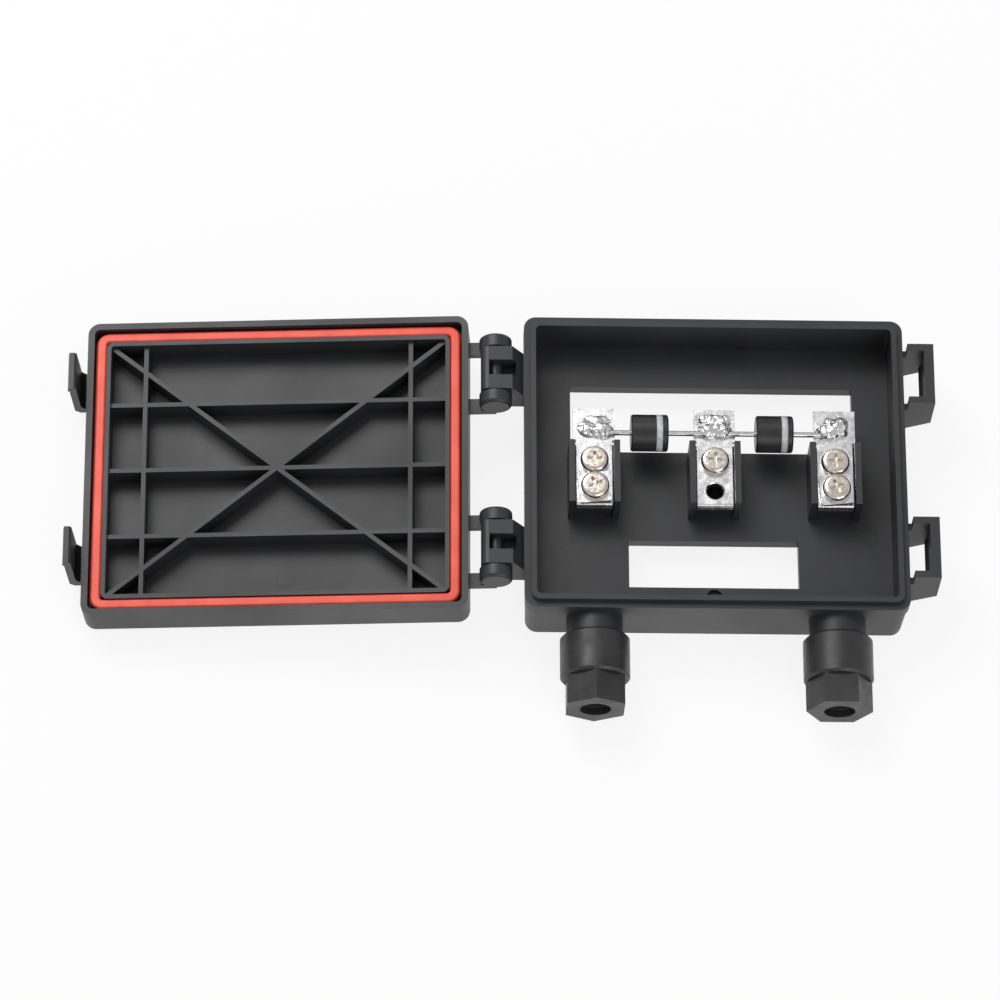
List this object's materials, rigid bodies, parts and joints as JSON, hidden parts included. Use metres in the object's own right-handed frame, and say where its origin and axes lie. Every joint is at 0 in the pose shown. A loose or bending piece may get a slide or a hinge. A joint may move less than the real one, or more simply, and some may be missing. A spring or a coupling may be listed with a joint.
{
  "type": "photovoltaic junction box",
  "caption": "Box with a hinged ribbed lid, rail terminals, bypass diodes and cable glands, for wiring the back of a solar panel.",
  "frame": {"origin": "centre of the housing's flat back face, which is glued to the panel", "axes": "+Z out of the open housing, -X towards the hinges and the open lid, +X towards the latches, -Y out of the cable glands"},
  "size_m": [0.2125, 0.1003, 0.0223],
  "materials": {
    "black_moulding": "fine satin moulding",
    "nut_moulding": "satin moulding",
    "orange_silicone": "smooth silicone",
    "black_rubber": "matt rubber",
    "tinned_plate": "bright tin plate on stamped strip",
    "nickel_screw": "bright nickel plate",
    "solder": "bright solder, uneven",
    "tinned_wire": "bright tinned copper wire",
    "diode_moulding": "matt moulded epoxy with a silver cathode band"
  },
  "bodies": {
    "housing": {"housing": "black_moulding", "terminal_plate_left": "tinned_plate", "fixing_screw_left": "nickel_screw", "solder_left": "solder", "terminal_plate_middle": "tinned_plate", "fixing_screw_middle": "nickel_screw", "solder_middle": "solder", "terminal_plate_right": "tinned_plate", "fixing_screw_right": "nickel_screw", "solder_right": "solder", "diode_body_left": "diode_moulding", "diode_leads_left": "tinned_wire", "diode_body_right": "diode_moulding", "diode_leads_right": "tinned_wire"},
    "lid": {"lid": "black_moulding", "lid_gasket": "orange_silicone"},
    "gland_seal_left": {"gland_seal_left": "black_rubber"},
    "gland_nut_left": {"gland_nut_left": "nut_moulding"},
    "clamp_washer_left": {"clamp_washer_left": "tinned_plate"},
    "clamp_screw_left": {"clamp_screw_left": "nickel_screw"},
    "gland_seal_right": {"gland_seal_right": "black_rubber"},
    "gland_nut_right": {"gland_nut_right": "nut_moulding"},
    "clamp_washer_right": {"clamp_washer_right": "tinned_plate"},
    "clamp_screw_right": {"clamp_screw_right": "nickel_screw"}
  },
  "joints": [
    {"name": "lid_hinge", "type": "hinge", "parent": "housing", "child": "lid", "pos_m": [-0.0537, 0, 0.0183], "axis": [0, 1, 0], "range_deg": [0, 184.57]},
    {"name": "gland_travel_left", "type": "slide", "parent": "housing", "child": "gland_seal_left", "axis": [0, -1, 0], "range_m": [0, 0.006]},
    {"name": "gland_nut_turn_left", "type": "hinge", "parent": "gland_seal_left", "child": "gland_nut_left", "pos_m": [-0.0295, -0.052, 0.0092], "axis": [0, -1, 0], "range_deg": [0, 1440.5]},
    {"name": "clamp_travel_left", "type": "slide", "parent": "housing", "child": "clamp_washer_left", "axis": [0, 0, 1], "range_m": [-0.00079, 0.00136]},
    {"name": "clamp_screw_turn_left", "type": "hinge", "parent": "clamp_washer_left", "child": "clamp_screw_left", "pos_m": [-0.0295, -0.0063, 0.0167], "axis": [0, 0, 1], "range_deg": [-405.05, 700.05]},
    {"name": "gland_travel_right", "type": "slide", "parent": "housing", "child": "gland_seal_right", "axis": [0, -1, 0], "range_m": [0, 0.006]},
    {"name": "gland_nut_turn_right", "type": "hinge", "parent": "gland_seal_right", "child": "gland_nut_right", "pos_m": [0.0295, -0.052, 0.0092], "axis": [0, -1, 0], "range_deg": [0, 1440.5]},
    {"name": "clamp_travel_right", "type": "slide", "parent": "housing", "child": "clamp_washer_right", "axis": [0, 0, 1], "range_m": [-0.00079, 0.00136]},
    {"name": "clamp_screw_turn_right", "type": "hinge", "parent": "clamp_washer_right", "child": "clamp_screw_right", "pos_m": [0.0295, -0.0063, 0.0167], "axis": [0, 0, 1], "range_deg": [-405.05, 700.05]}
  ],
  "couplings": [
    {"joint": "gland_nut_turn_left", "follows": "gland_travel_left", "rad_per_m": 4188.8},
    {"joint": "clamp_screw_turn_left", "follows": "clamp_travel_left", "rad_per_m": 8976},
    {"joint": "gland_nut_turn_right", "follows": "gland_travel_right", "rad_per_m": 4188.8},
    {"joint": "clamp_screw_turn_right", "follows": "clamp_travel_right", "rad_per_m": 8976}
  ]
}
